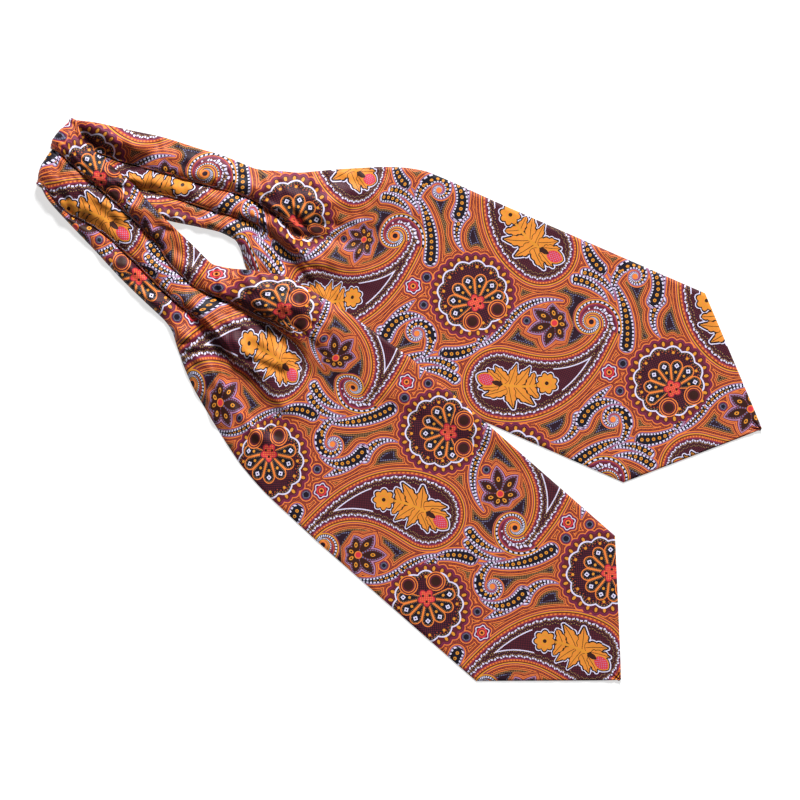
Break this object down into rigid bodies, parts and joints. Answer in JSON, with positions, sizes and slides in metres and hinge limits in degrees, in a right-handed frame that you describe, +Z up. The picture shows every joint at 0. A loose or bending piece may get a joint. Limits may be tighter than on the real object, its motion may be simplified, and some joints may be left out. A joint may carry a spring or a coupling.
{
  "type": "silk cravat",
  "caption": "Paisley silk day cravat laid flat: pointed blades fan out of a pleated neckband that is folded at the centre back. Worn tied at the throat inside an open collar.",
  "frame": {"origin": "the middle of the laid cravat's outline, on the surface that it lies on", "axes": "+Z up from the surface; +X to the right of the picture and +Y to its top, which the camera looks straight down on"},
  "size_m": [0.5651, 0.4368, 0.011],
  "materials": {
    "silk": "printed silk twill with a soft sheen"
  },
  "bodies": {
    "root": {"blade_over": "silk", "band_over": "silk", "blade_under": "silk", "band_under": "silk"}
  },
  "joints": []
}
